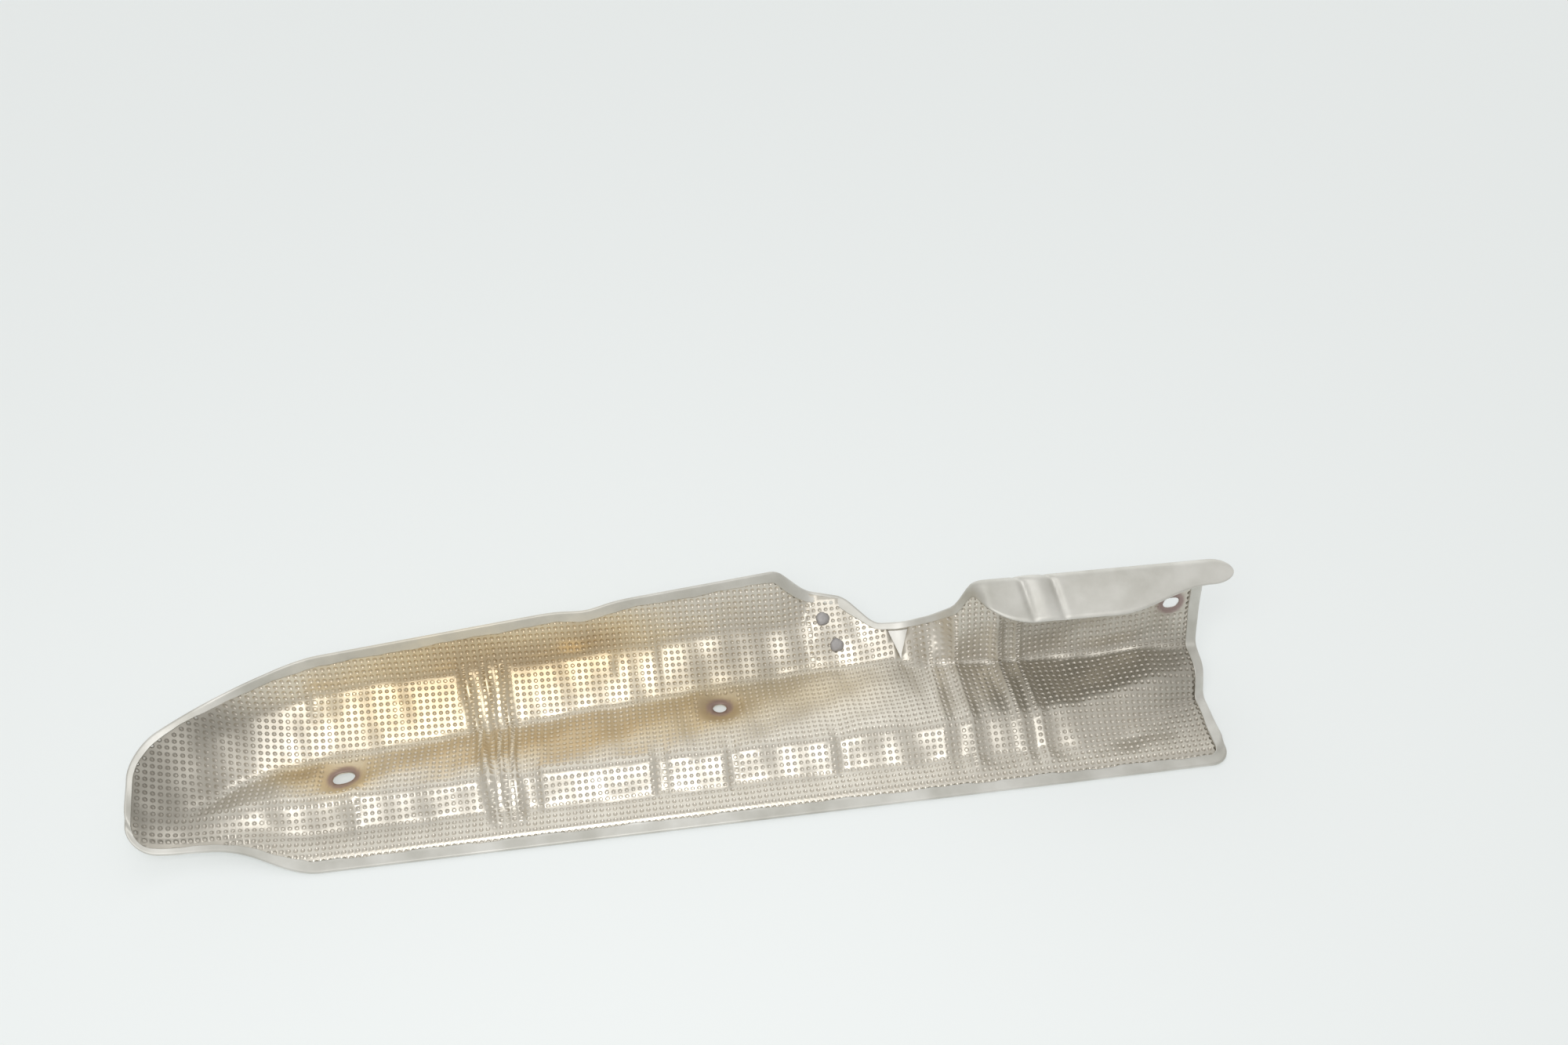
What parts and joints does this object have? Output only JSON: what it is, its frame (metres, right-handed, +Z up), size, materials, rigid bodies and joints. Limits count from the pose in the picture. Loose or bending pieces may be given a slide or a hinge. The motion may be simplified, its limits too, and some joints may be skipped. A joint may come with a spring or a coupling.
{
  "type": "car heat shield",
  "caption": "Long pressed aluminium heat shield for a car engine bay: a smooth outer skin hemmed round a dimpled liner, with bolt holes, a notched wall and a curled end lip.",
  "frame": {"origin": "middle of the bounding box, at the level of the surface the shield lies on", "axes": "+X along the length towards the end with the lip, +Y from the straight front edge to the wall, +Z up"},
  "size_m": [0.625, 0.1383, 0.0816],
  "materials": {
    "outer_skin": "satin",
    "dimpled_liner": "embossed, heat tinted",
    "rivets": "rough"
  },
  "bodies": {
    "root": {"outer_skin": "outer_skin", "dimpled_liner": "dimpled_liner", "rivets": "rivets"}
  },
  "joints": []
}
